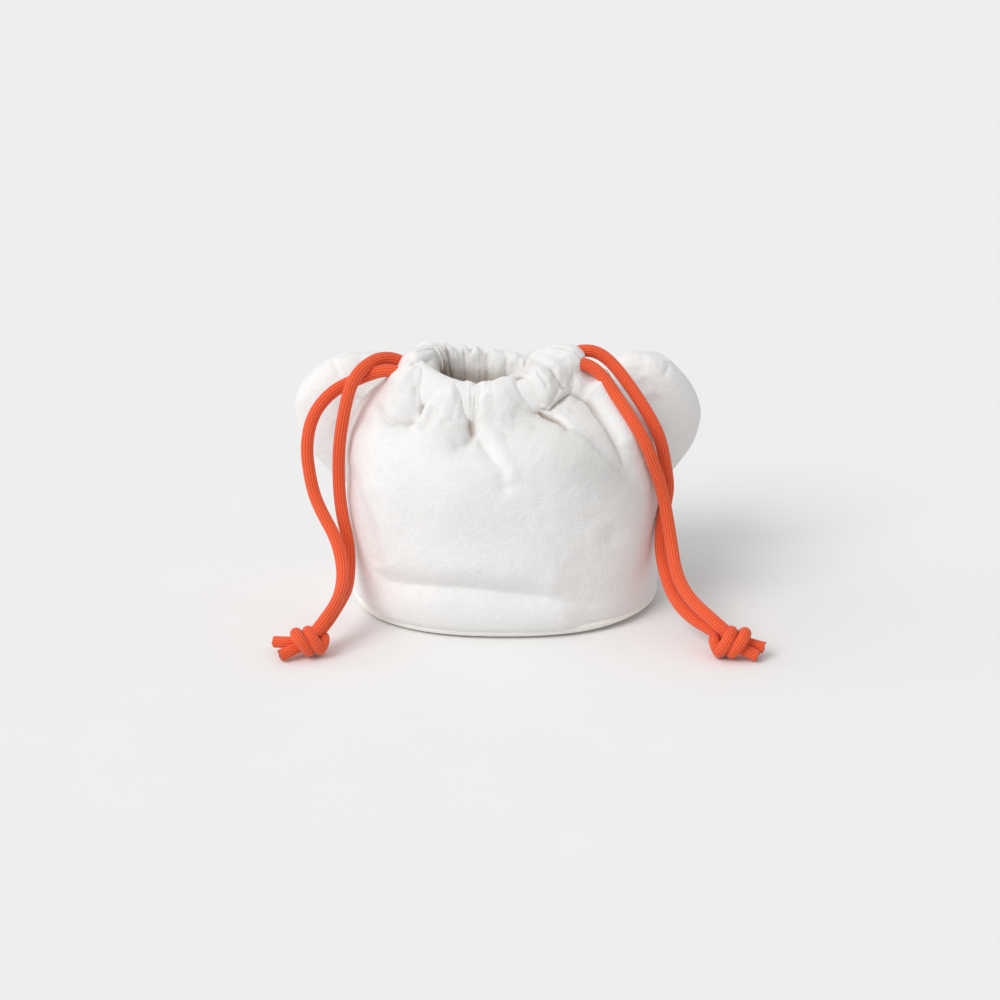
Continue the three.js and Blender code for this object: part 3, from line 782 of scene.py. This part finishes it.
def distance_to_line(points, line):
    line = np.asarray(line, float)
    nearest, along, walked = np.full(points.shape[:-1], np.inf), np.zeros(points.shape[:-1]), 0.0
    on_left = np.zeros(points.shape[:-1], bool)
    for start, end in zip(line[:-1], line[1:]):
        way, reach = end - start, points - start
        t = np.clip(reach @ way / (way @ way), 0, 1)
        here = np.linalg.norm(reach - t[..., None] * way, axis=-1)
        closer = here < nearest
        along = np.where(closer, walked + t * np.linalg.norm(way), along)
        on_left = np.where(closer, way[0] * reach[..., 1] > way[1] * reach[..., 0], on_left)
        nearest = np.minimum(nearest, here)
        walked += np.linalg.norm(way)
    return nearest, along / walked, on_left


def folded(drawn, unit, folds):
    """How far the folds move the cloth out, given its places on a drawing and the drawing's unit."""
    deepest, highest = np.zeros(drawn.shape[:-1]), np.zeros(drawn.shape[:-1])
    for fold in folds:
        distance, along, on_left = distance_to_line(drawn, fold.line)
        depths = np.atleast_1d(fold.depth)
        depth = np.interp(along, np.linspace(0, 1, len(depths)), depths)
        left, right = np.broadcast_to(fold.width, 2)
        out = depth * np.exp(-((distance * unit / np.where(on_left, left, right)) ** fold.edge))
        deepest, highest = np.minimum(deepest, out), np.maximum(highest, out)
    return deepest + highest


def seen_from_camera(points):
    """Places on the picture, and the millimetres that one of its units is at each point's distance."""
    toward, eye = np.array(backward), np.array(camera.location) / MM
    right = np.array((1.0, 0.0, 0.0))
    away = points - eye
    depth = -away @ toward
    unit = depth / (IMAGE_WIDTH * LENS / SENSOR_WIDTH)
    return np.stack([away @ right, away @ np.cross(toward, right)], axis=-1) / unit[..., None], unit


def grid_normals(grid):
    round_way = np.roll(grid, -1, 1) - np.roll(grid, 1, 1)
    normal = np.cross(round_way, np.gradient(grid, axis=0))
    return normal / np.maximum(np.linalg.norm(normal, axis=-1, keepdims=True), 1e-9)


# %% Fold the cloth in front and at the back
BODY_STEP = 0.9  # between the body's rows, along the cloth
RIM_TURN = (0, 3)  # past the rim, where the outside ends
FRONT_END = 12  # depth in the frame where the front's folds give way to the back's
FACING_FRONT, FACING_BACK = (-0.1, 0.25), (0, 0.3)

below_seam = np.linspace(-BODY_STEP * SEAM_ROW, 0, BODY_ROWS)[:, None]
up_cloth = np.concatenate([below_seam, climbed])
past_rim = np.concatenate([below_seam + over_rim[0], over_rim])
cloth_x, cloth_y, cloth_z = np.moveaxis(smooth_cloth, -1, 0)
smooth_normals = grid_normals(smooth_cloth)
outer = 1 - smoothstep(past_rim, *RIM_TURN)
in_front = smoothstep(smooth_normals @ np.array(backward), *FACING_FRONT) * (cloth_y < FRONT_END) * outer
at_back = smoothstep(smooth_normals[..., 1], *FACING_BACK) * (cloth_y > FRONT_END) * outer
drawn, drawn_unit = seen_from_camera(smooth_cloth)
out = folded(drawn, drawn_unit, FRONT_FOLDS.values()) * in_front
out += folded(np.stack([cloth_x, cloth_z], axis=-1), 1, BACK_FOLDS.values()) * at_back
print("large folds move the cloth by", out.min().round(1), "to", out.max().round(1), "mm")

# %% [markdown]
# The casing's small pleats come from the cords, which draw a long edge into a short one. They are
# sharp valleys between round ridges, uneven in width and depth: fine along the outside and the rim,
# wider and deeper on the inside, and they fade out a finger's width below the seam.

# %% Small pleats
FINE_PLEATS, INNER_PLEATS, CRIMPS = (27, 1.0), (19, 2.0), (71, 0.5)  # count and phase
FINE_DEPTH = {"everywhere": 0.2, "notch": 0.3, "back": 0.6, "rim": 0.5}
INNER_DEPTH = {"everywhere": 0.3, "back": 1.2, "back_middle": math.radians(205)}
NOTCH = {"middle": -13, "half": 6}  # where the front is drawn in
CRIMP_SHARE = 0.1
FINE_START, FINE_END = (-9, 1), (1, 5)  # up the cloth from the neck seam, and past the rim
FINE_BACK = (0, 8)  # depth in the frame where the back's deeper pleats begin and where they are full
RIM_HALF = 2.5  # half width of the stretch of cloth that turns over the rim
INNER_START = (-1, 5)  # past the rim
INNER_BACK = (-0.3, 0.5)  # cosine of the turn from the middle of the back


def pleats(angle, count, phase):
    """Round ridges between sharp valleys, from -1 to 1, some deeper than others."""
    warped = count * angle + 1.3 * np.sin(3 * angle + phase) + 0.9 * np.sin(7 * angle + 2.4 * phase)
    wave = 2 * np.abs(np.cos((warped + 0.6 * np.sin(13 * angle)) / 2)) ** 0.8 - 1
    return wave * (0.6 + 0.4 * np.sin(2 * angle + 1.6 * phase) * np.sin(5 * angle + 1.9 + phase))


fine_wave = pleats(turn, *FINE_PLEATS)
inner_wave = pleats(turn, *INNER_PLEATS) + CRIMP_SHARE * pleats(turn, *CRIMPS)
near_notch = hill(cloth_x, NOTCH["middle"], NOTCH["half"]) * (cloth_y < 0)
fine = FINE_DEPTH["everywhere"] + FINE_DEPTH["notch"] * near_notch
fine = fine + FINE_DEPTH["back"] * smoothstep(cloth_y, *FINE_BACK)
out += fine * fine_wave * smoothstep(up_cloth, *FINE_START) * (1 - smoothstep(past_rim, *FINE_END))
out += FINE_DEPTH["rim"] * fine_wave * hill(past_rim, 0, RIM_HALF)
at_inner_back = smoothstep(np.cos(turn - INNER_DEPTH["back_middle"]), *INNER_BACK)
inner = INNER_DEPTH["everywhere"] + INNER_DEPTH["back"] * at_inner_back
out += inner * inner_wave * smoothstep(past_rim, *INNER_START)
print("pleats:", FINE_PLEATS[0], "fine ones,", INNER_PLEATS[0], "inside")

# %% [markdown]
# Between the folds the cloth is never flat: it has soft lumps on the body, tighter puckers near the
# cords, and on the right a shoulder that the strands are pulled over.

# %% Lumps, puckers and the right shoulder
LUMPS = [(0.7, 19, 3), (0.2, 6, 11)]  # depth, size and seed
FOOT_SPAN = (-110, -100)  # below the neck seam, where the lumps begin above the foot
PUCKER_LUMP, PUCKER_VALLEY = (0.3, 8, 21), (1.02, 5.5, 21)
PUCKER_TOP = 0.17  # height of the ridges between the puckers' valleys
PUCKER_STRETCH = (1, 1, 0.55)
PUCKER_SPAN = (-12, 0)
SHOULDER = {"out": 8.2, "middle": 84, "half": 18, "below_seam": -4.3, "half_height": 6.2}


def lumps(points, depth, size, seed):
    values = [noise.noise(Vector((x + seed, y, z))) for x, y, z in points.reshape(-1, 3) / size]
    return depth * np.array(values).reshape(points.shape[:-1])


out += sum(lumps(smooth_cloth, *row) for row in LUMPS) * smoothstep(up_cloth, *FOOT_SPAN)
puckers = PUCKER_TOP - np.abs(lumps(smooth_cloth * PUCKER_STRETCH, *PUCKER_VALLEY))
puckers = puckers + lumps(smooth_cloth, *PUCKER_LUMP)
out += puckers * smoothstep(up_cloth, *PUCKER_SPAN)
shoulder = round_mouth(SHOULDER["out"], SHOULDER["middle"], SHOULDER["half"])
out += shoulder * hill(up_cloth, SHOULDER["below_seam"], SHOULDER["half_height"])
cloth = smooth_cloth + smooth_normals * out[..., None]
print("the folded cloth moves by", out.min().round(1), "to", out.max().round(1), "mm")

# %% [markdown]
# Shade is painted into the colour: warm grey in the sharp creases, the hollows between the pleats, the
# gathers and the casing's inside, most on its left, and cooler grey under the right swell and by the notch.

# %% Where shade is painted into the pile's colour
SHARP_EDGE = 1  # folds with no softer edge than this get the painted shade
RECESS_SHADE_SHARE = {"crease": 0.42, "inside": 0.62, "left": 0.2, "hollow": 0.4, "gathers": 0.05}
RECESS_SHADE_DEPTH = (1.2, 3.6)  # of a crease, where the painted shade begins and where it is full
INSIDE_SPAN = (6.5, 13)  # past the rim
GATHER_SPAN = (-16, -5)  # below the neck seam
HOLLOW_REACH, HOLLOW_DEPTH = 7, (0.12, 1.3)


def averaged(values, reach):
    """The mean over a square of rows and columns round each point of the cloth."""
    steps = np.arange(-reach, reach + 1)
    over_columns = np.mean([np.roll(values, step, axis=1) for step in steps], axis=0)
    rows = np.clip(np.arange(len(values))[:, None] + steps, 0, len(values) - 1)
    return over_columns[rows].mean(axis=1)


# Painted shade: its share is high in sharp creases, on the casing's inside, in hollows and over the gathers
sharp_folds = [fold for fold in FRONT_FOLDS.values() if fold.edge <= SHARP_EDGE]
creases = smoothstep(-folded(drawn, drawn_unit, sharp_folds) * in_front, *RECESS_SHADE_DEPTH)
inside = smoothstep(past_rim, *INSIDE_SPAN) * (RECESS_SHADE_SHARE["inside"] - RECESS_SHADE_SHARE["left"] * np.sin(turn))
gathers = smoothstep(up_cloth, *GATHER_SPAN)
hollows = smoothstep(averaged(out, HOLLOW_REACH) - out, *HOLLOW_DEPTH) * gathers
recess_shade = RECESS_SHADE_SHARE["crease"] * creases + inside
recess_shade = recess_shade + RECESS_SHADE_SHARE["hollow"] * hollows + RECESS_SHADE_SHARE["gathers"] * gathers
# Painted cooler shade on the front slopes listed above
flank_shade = folded(drawn, drawn_unit, FLANK_SHADE_PLACES.values()) * in_front
cloth_tints = {RECESS_SHADE: np.clip(recess_shade, 0, 1), FLANK_SHADE: np.clip(flank_shade, 0, 1)}
print("tints:", {name: round(float(share.mean()), 3) for name, share in cloth_tints.items()})

# %% [markdown]
# ## The body
# The body is one tube of cloth: up its outside, in under the casing, and down its inside.

# %% The body
WALL = 2.2
THIRD = -3  # an inside takes every third row or column, in reverse
UNDER_CASING = (0.25, 0.7, 1.2, 1.8)  # how deep the rows past the seam pass under the casing
HEM_SCALE, HEM_DROP = (0.972, 0.966, 1), (0, 0, 0.4)
cloth_normals = grid_normals(cloth)


def sunk(first_row, depths):
    """Rows of cloth moved in, to pass under the next piece at the seam."""
    rows = slice(first_row, first_row + len(depths))
    return cloth[rows] - cloth_normals[rows] * np.array(depths)[:, None, None]


def tints_on(grid, place, taken):
    """The cloth's tints on a piece that holds the taken stretch of cloth in one place of its grid."""
    tints = {}
    for name, share in cloth_tints.items():
        tints[name] = np.zeros(grid.shape[:2])
        tints[name][place] = share[taken]
    return tints


def body_piece():
    outside = cloth[:SEAM_ROW + 1]
    inside = (outside - grid_normals(outside) * WALL)[::THIRD]
    hem = outside[:1] * HEM_SCALE - HEM_DROP
    grid = np.concatenate([hem, outside, sunk(SEAM_ROW + 1, UNDER_CASING), inside])
    faces = grid_faces(len(grid), COLUMNS, close_rows=True)
    tints = tints_on(grid, np.s_[1:1 + len(outside)], np.s_[:SEAM_ROW + 1])
    return make_piece("plush_body", grid.reshape(-1, 3), faces, [plush], "pouch_body", tints=tints)


body = body_piece()

# %% [markdown]
# ## The base panel
# An oval panel closes the bottom. Its edge turns up a few millimetres to the seam, so from the front it
# shows as a thin band under the body, a lighter and yellower white than the body's. At the right
# front the panel curls up off the table by a few millimetres, and a wider shadow lies under it there.

# %% The base panel
BASE = {"half_width": 69.2, "half_depth": 56.4, "squareness": 2.38, "shift": 1.2}
BASE_COLUMNS = 240
CURL = {"height": 2.6, "middle": math.radians(70), "half": math.radians(30)}
BASE_PROFILE = [  # inset from the edge, height, share of the curl
    (52.4, 0, 0), (40, 0, 0), (20, 0, 0), (7, 0, 0.55), (3.9, 0.22, 0.92), (2.4, 0.6, 0.92),
    (1.25, 1.15, 0.8), (0.5, 1.9, 0.55), (0.14, 2.8, 0.25), (0, 3.8, 0), (0.25, 4.7, 0), (0.7, 5.2, 0),
    (1.3, 5.4, 0), (2.4, 4.7, 0.1), (3.2, 3.6, 0.5), (4, 2.9, 0.8), (7, 2.4, 0.55), (20, 2.3, 0),
    (40, 2.3, 0), (52.4, 2.3, 0),
]


def base_piece():
    around = np.linspace(0, 2 * np.pi, BASE_COLUMNS, endpoint=False)
    curl = CURL["height"] * hill(around, CURL["middle"], CURL["half"])
    rows = []
    for inset, height, share in BASE_PROFILE:
        x, y = oval(around, BASE["half_width"] - inset, BASE["half_depth"] - inset, BASE["squareness"])
        rows.append(np.stack([x + BASE["shift"], y, height + share * curl], axis=-1))
    under = list(range(BASE_COLUMNS))[::-1]
    over = [(len(rows) - 1) * BASE_COLUMNS + i for i in range(BASE_COLUMNS)]
    faces = [*grid_faces(len(rows), BASE_COLUMNS).tolist(), under, over]
    return make_piece("plush_base_panel", np.concatenate(rows), faces, [plush_base], "base_panel")


base = base_piece()

# %% [markdown]
# ## The casing
# Each half of the casing is its stretch of the cloth closed round a tunnel. The halves end at the
# sides, where the cords come out.

# %% The casing's halves
TUNNEL = 0.76  # the tunnel's size as a share of the casing's
OVER_BODY = (1.4, 0.8, 0.3)  # how deep the casing's lowest rows lie under the body's cloth
FLOOR_SHARES = np.array([[0.25], [0.5], [0.75]])  # rows across the tunnel's floor
LIP = 0.6  # share of the way out from the tunnel to the cloth where an end's lip lies
LEFT_END_ANGLE, RIGHT_END_ANGLE = -88.5, 77.25  # degrees


def casing_piece(name, first, last, node):
    kept = np.arange(round(first / 360 * COLUMNS), round(last / 360 * COLUMNS) + 1) % COLUMNS
    first_row = SEAM_ROW - len(OVER_BODY)
    outer = np.concatenate([sunk(first_row, OVER_BODY), cloth[SEAM_ROW:]])[:, kept]
    across = np.vstack([CASING_SECTION[0], loop[:, :2]])
    tunnel_floor = across[-1] + (across[0] - across[-1]) * FLOOR_SHARES
    across = np.vstack([tunnel_floor, across]) * TUNNEL
    tunnel = ring_point(turn[kept[::THIRD]], across[:, :1], across[:, 1:])
    last_lip = (1 - LIP) * tunnel[:, :1] + LIP * outer[:, -1:]
    first_lip = (1 - LIP) * tunnel[:, -1:] + LIP * outer[:, :1]
    grid = np.concatenate([outer, last_lip, tunnel, first_lip], axis=1)
    faces = grid_faces(*grid.shape[:2], close_rows=True)
    tints = tints_on(grid, np.s_[:, :len(kept)], np.s_[first_row:, kept])
    return make_piece(name, grid.reshape(-1, 3), faces, [plush], node, tints=tints)


casing_front = casing_piece("plush_casing_front", LEFT_END_ANGLE, RIGHT_END_ANGLE, "casing_front")
casing_back = casing_piece("plush_casing_back", RIGHT_END_ANGLE, LEFT_END_ANGLE + 360, "casing_back")

# %% [markdown]
# ## The ears
# An ear is two round panels sewn together at the edge, turned and stuffed. A cloth simulation with air
# pressure gives it the tight belly and the small puckers at its seam that a modelled disc lacks. It
# starts from a slightly smaller copy of the solid and holds the side that is sewn to the body. Its seam
# shrinks a little, as a row of stitches does, and its panels stretch.

# %% Helpers for a mesh that modifiers change
def apply_modifiers(piece):
    graph = bpy.context.evaluated_depsgraph_get()
    made = bpy.data.meshes.new_from_object(piece.evaluated_get(graph))
    piece.modifiers.clear()
    piece.data = made


def remeshed(piece, voxel):
    remesh = piece.modifiers.new("remesh", "REMESH")
    remesh.mode = "VOXEL"
    remesh.voxel_size = voxel * MM
    smooth = piece.modifiers.new("smooth", "SMOOTH")
    smooth.iterations = 6
    apply_modifiers(piece)


def point_array(mesh):
    places = np.empty(3 * len(mesh.vertices))
    mesh.vertices.foreach_get("co", places)
    return places.reshape(-1, 3) / MM


def set_points(mesh, points):
    mesh.vertices.foreach_set("co", np.ravel(points) * MM)
    mesh.update()


def weight_group(piece, name, weights):
    group = piece.vertex_groups.new(name=name)
    for index, weight in enumerate(weights):
        group.add([index], float(weight), "REPLACE")
    return group.name


# %% Blow up a closed piece of cloth
EAR_CAP = 3.0  # the furthest that a point may move
EAR_FRAMES = 20
SEAM_SHRINK, PANEL_STRETCH = 0.03, 0.03


def blow_up(piece, held, shrinking):
    before = point_array(piece.data)
    settings = piece.modifiers.new("stuffing", "CLOTH").settings
    settings.quality = 6
    settings.mass = 0.2
    settings.tension_stiffness = settings.compression_stiffness = 12
    settings.use_pressure = True
    settings.uniform_pressure_force = 4
    settings.effector_weights.gravity = 0
    settings.vertex_group_mass = weight_group(piece, "held", held)
    settings.vertex_group_shrink = weight_group(piece, "shrinking", shrinking)
    settings.shrink_min = -PANEL_STRETCH
    settings.shrink_max = SEAM_SHRINK
    for step in range(1, EAR_FRAMES + 1):
        scene.frame_set(step)
    apply_modifiers(piece)
    piece.vertex_groups.clear()
    moved = point_array(piece.data) - before
    far = np.linalg.norm(moved, axis=1, keepdims=True)
    set_points(piece.data, before + moved * np.minimum(1, EAR_CAP / np.maximum(far, 1e-9)))
    scene.frame_set(1)
    print(piece.name, "moved up to", round(float(far.max()), 1), "mm")


# %% [markdown]
# Sewn on along a slanting seam, an ear is a round cushion that narrows towards its foot. The blown-up
# copy is fitted to its solid's box, thickened, drawn down and in below its middle, and narrowed at the
# top of its outer side. Its outer edge bends back, and a pucker in the seam marks where its stuffing
# was closed in.

# %% The ear's drop shape
SEAM_Y = 29.0  # the plane of the ears' seams
EAR_MIDDLE = {"x": 66, "z": 74.6, "reach": 27, "half_thickness": 9.5}
EAR_BELLY = 1.48  # how much thicker the stuffing makes it than its solid
EAR_DROP = 1.2  # how much longer the lower half is
EAR_WIDTH = {"left": 1.15, "right": 1.06}  # how much wider it is than its solid
EAR_NARROW = {"share": 0.34, "from": 92, "over": 50}  # how much narrower the foot is, from which height
EAR_SLOPE = {"left": 0.2, "right": 0.29}  # how much narrower the top is on its outer side
EAR_SLOPE_SPAN = {"left": (78, 108), "right": (69, 101)}  # heights where that begins and where it is full
EAR_CHEEK = {"share": 0.08, "height": 60, "half": 9}  # how much fuller the outer side is, low down
EAR_BEND = {"left": 1.6, "right": 8}  # how far the outer edge bends back, in millimetres
EAR_DROOP = {"left": 0, "right": 2.2}  # how far the outer edge hangs, in millimetres
PUCKER = Fold(1.4, (-1.6, -0.7), 1.3, [(76, 100), (73.5, 97)])


def drop_shape(points, box):
    low, high = points.min(axis=0), points.max(axis=0)
    points = box[0] + (points - low) * (box[1] - box[0]) / (high - low)
    side = np.sign(points[:, 0].mean())
    ear = "right" if side > 0 else "left"
    x, y, z = side * points[:, 0], (points[:, 1] - SEAM_Y) * EAR_BELLY, points[:, 2]
    z = np.where(z < EAR_MIDDLE["z"], EAR_MIDDLE["z"] - (EAR_MIDDLE["z"] - z) * EAR_DROP, z)
    narrow = EAR_NARROW["share"] * smoothstep(EAR_NARROW["from"] - z, 0, EAR_NARROW["over"])
    x = EAR_MIDDLE["x"] + (x - EAR_MIDDLE["x"]) * (EAR_WIDTH[ear] - narrow)
    slope = EAR_SLOPE[ear] * smoothstep(z, *EAR_SLOPE_SPAN[ear])
    cheek = EAR_CHEEK["share"] * hill(z, EAR_CHEEK["height"], EAR_CHEEK["half"])
    x = x - np.maximum(x - EAR_MIDDLE["x"], 0) * (slope - cheek)
    pressed = folded(np.stack([x, z], axis=-1), 1, [PUCKER]) / EAR_MIDDLE["half_thickness"] * 2
    to_edge = np.maximum(x - EAR_MIDDLE["x"], 0) / EAR_MIDDLE["reach"]
    y = y * (1 + pressed) + EAR_BEND[ear] * to_edge ** 2
    return np.stack([side * x, y + SEAM_Y, z - EAR_DROOP[ear] * to_edge], axis=-1)


# %% Stuff the ears
EAR_VOXEL = 2.0
EAR_START = 0.97  # size of the copy that is blown up
SEAM_HALF = 3  # half width of the stretch round the seam that shrinks
SEWN_SPAN = (56, 64)  # from the middle, where the ear is sewn on and where it is free


def ear_piece(node):
    piece = new_object("stuffed_" + node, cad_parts[node].data.copy())
    piece.data.materials.clear()
    piece.data.materials.append(plush)
    remeshed(piece, EAR_VOXEL)
    points = point_array(piece.data)
    box = points.min(axis=0), points.max(axis=0)
    centre = (box[0] + box[1]) / 2
    at_seam = hill(points[:, 1], SEAM_Y, SEAM_HALF)
    sewn = 1 - smoothstep(np.abs(points[:, 0]), *SEWN_SPAN)
    set_points(piece.data, centre + (points - centre) * (EAR_START + (1 - EAR_START) * sewn[:, None]))
    blow_up(piece, sewn, at_seam * (1 - sewn))
    fine = piece.modifiers.new("fine", "SUBSURF")
    fine.levels = 2
    apply_modifiers(piece)
    mesh = piece.data
    set_points(mesh, drop_shape(point_array(mesh), box))
    mesh.polygons.foreach_set("use_smooth", [True] * len(mesh.polygons))
    seat(piece, node)
    print(piece.name, len(mesh.polygons), "faces")


for ear_node in ("ear_left", "ear_right"):
    ear_piece(ear_node)

# %% [markdown]
# ## The cloth as it was cut
# The body was one strip as long as the base is round, gathered at the top. Each half of the casing is
# that strip's upper edge, folded over, and the base is an oval.

# %% Say how large each cloth was before it was gathered
print("cloths with a flat size:", [cut.name for cut in (body, casing_front, casing_back, base)])

# %% [markdown]
# ## Floor and light
# The pouch stands on a pale sweep of paper. A broad lamp from the front left models the folds, another
# from the left lays the soft shadow to the right, a faint one from above lifts the cloth that faces up,
# and a bright room fills the shade. Sun lamps with wide discs light the whole sweep evenly, which lamps
# close by would not.

# %% The floor
FLOOR_HALF = 8.0  # metres
PAPER_DARK, PAPER_LIGHT = (0.83, 0.83, 0.825), (0.85, 0.85, 0.845)
PAPER_CLOUD = 60  # millimetres


def floor_piece():
    mesh = bpy.data.meshes.new("floor")
    corners = [(x * FLOOR_HALF, y * FLOOR_HALF, 0) for x, y in [(-1, -1), (1, -1), (1, 1), (-1, 1)]]
    mesh.from_pydata(corners, [], [(0, 1, 2, 3)])
    finish, start, shader = new_finish("pale_paper", {"Roughness": 0.9, "Specular IOR Level": 0.1})
    feed(start.blend(start.noise(PAPER_CLOUD), PAPER_DARK, PAPER_LIGHT), shader, "Base Color")
    mesh.materials.append(finish)
    new_object("floor", mesh)
    print("floor of", 2 * FLOOR_HALF, "m")


floor_piece()

# %% The lamps and the room
LAMPS = {  # turn from the front to the left, rise and width of the disc are in degrees
    "front_lamp": {"turned": 50, "rise": 44, "strength": 1.58, "width": 36},
    "side_lamp": {"turned": 104, "rise": 32, "strength": 0.34, "width": 40},
    "top_lamp": {"turned": 20, "rise": 80, "strength": 0.24, "width": 70},
}
ROOM_LIGHT = {"Color": (1, 1, 1, 1), "Strength": 0.54}


def sun_lamp(name, turned, rise, strength, width):
    lamp = new_object(name, bpy.data.lights.new(name, "SUN"))
    turned, rise = math.radians(turned), math.radians(rise)
    level = math.cos(rise)
    towards = Vector((-math.sin(turned) * level, -math.cos(turned) * level, math.sin(rise)))
    lamp.rotation_euler = towards.to_track_quat("Z", "Y").to_euler()
    lamp.data.energy = strength
    lamp.data.angle = math.radians(width)
    print(name, "of strength", strength)


for lamp_name, lamp_setting in LAMPS.items():
    sun_lamp(lamp_name, **lamp_setting)
room = bpy.data.worlds.new("room")
scene.world = room
room.use_nodes = True
for socket_name, socket_value in ROOM_LIGHT.items():
    room.node_tree.nodes["Background"].inputs[socket_name].default_value = socket_value
scene.view_settings.view_transform = "Standard"
